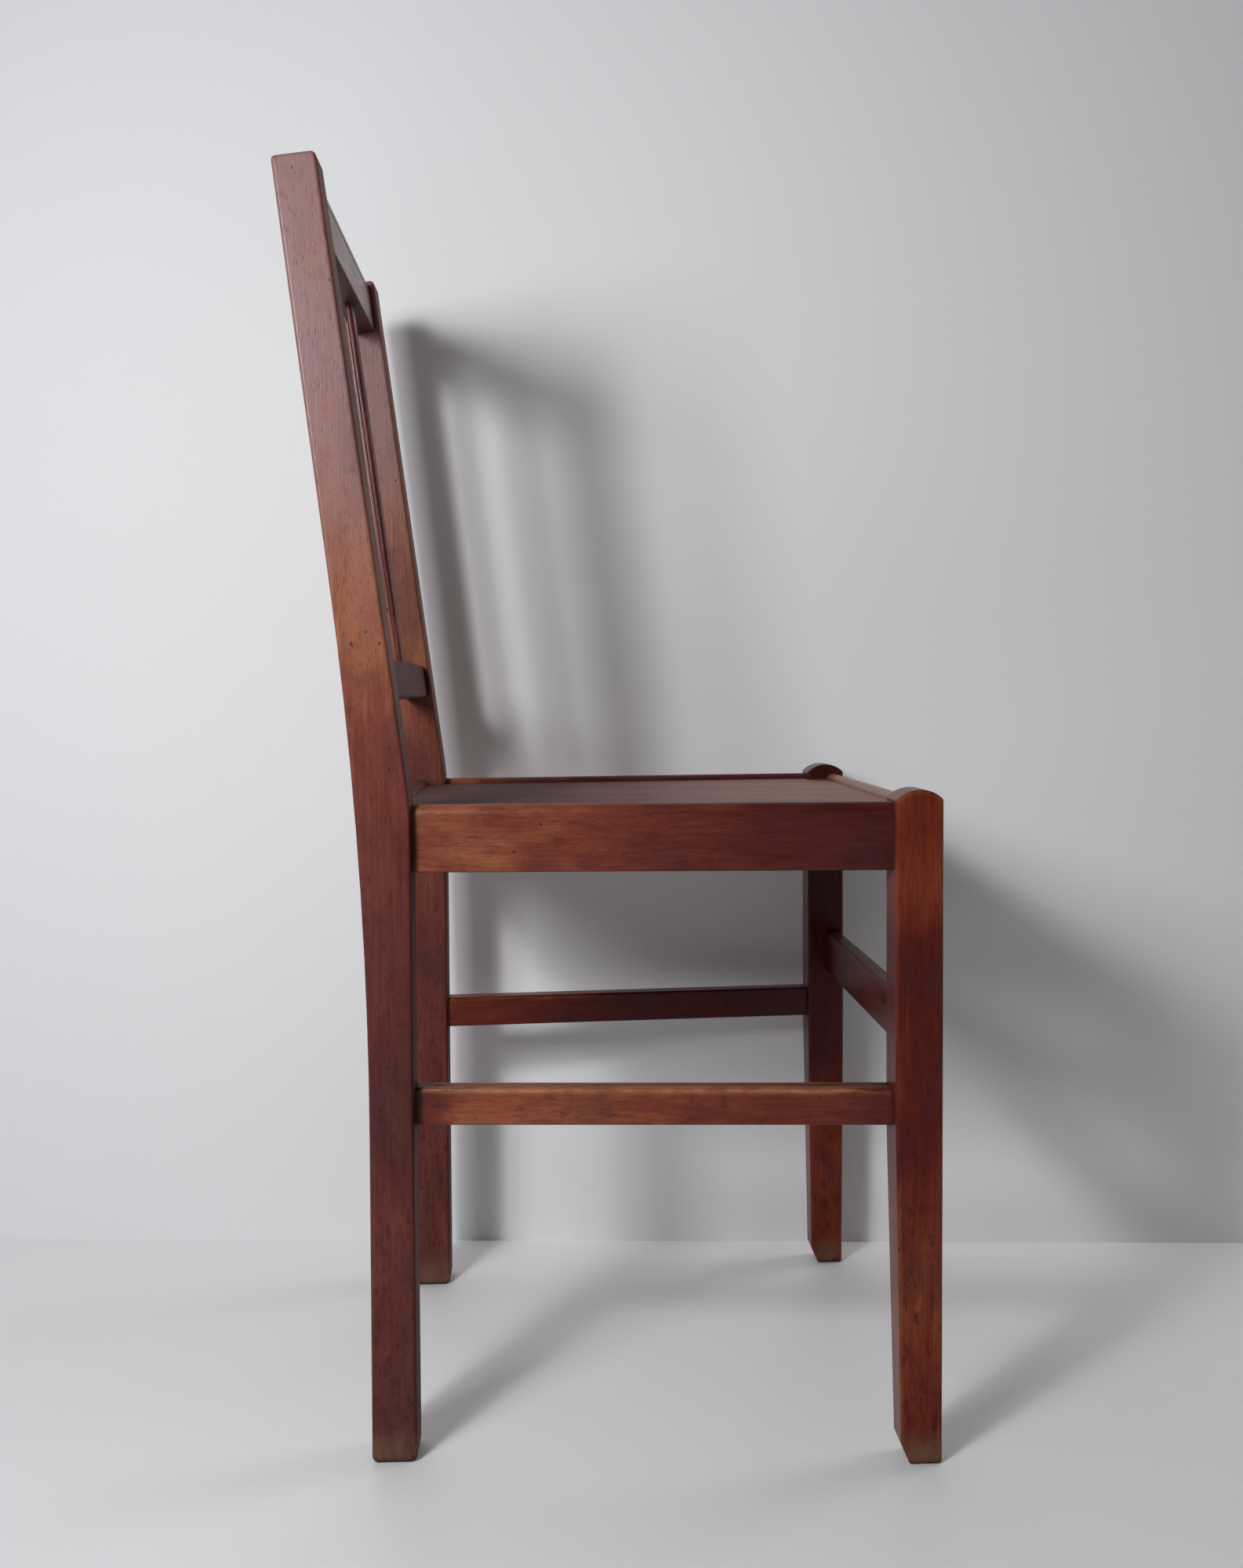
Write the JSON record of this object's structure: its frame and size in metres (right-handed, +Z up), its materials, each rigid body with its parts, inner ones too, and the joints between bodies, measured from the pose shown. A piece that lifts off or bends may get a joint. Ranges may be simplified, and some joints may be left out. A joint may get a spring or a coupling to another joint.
{
  "type": "bistro chair",
  "caption": "Stained wooden bistro side chair with a raked open back of slim slats, a recessed panel seat in nosed rails, and stretchers between its legs.",
  "frame": {"origin": "on the floor, under the middle of the chair's bounding box", "axes": "+Z up from the floor, -Y towards the front edge of the seat, +X towards the sitter's left"},
  "size_m": [0.408, 0.4394, 0.8824],
  "materials": {
    "stained_wood": "old red-brown stain under worn satin varnish",
    "seat_wood": "stained plywood, worn satin varnish",
    "block_wood": "bare beech, aged",
    "steel": "dull, lightly tarnished"
  },
  "bodies": {
    "root": {"front_leg_left": "stained_wood", "front_leg_right": "stained_wood", "rear_post_left": "stained_wood", "rear_post_right": "stained_wood", "side_rail_left": "stained_wood", "side_rail_right": "stained_wood", "front_rail": "stained_wood", "rear_rail": "stained_wood", "side_stretcher_left": "stained_wood", "side_stretcher_right": "stained_wood", "front_stretcher": "stained_wood", "crest_rail": "stained_wood", "lower_back_rail": "stained_wood", "back_slat_left": "stained_wood", "back_slat_right": "stained_wood", "seat_panel": "seat_wood", "corner_block_front_left": "block_wood", "corner_block_front_right": "block_wood", "corner_block_rear_left": "block_wood", "corner_block_rear_right": "block_wood", "corner_block_screws": "steel", "seat_panel_brads": "steel"}
  },
  "joints": []
}
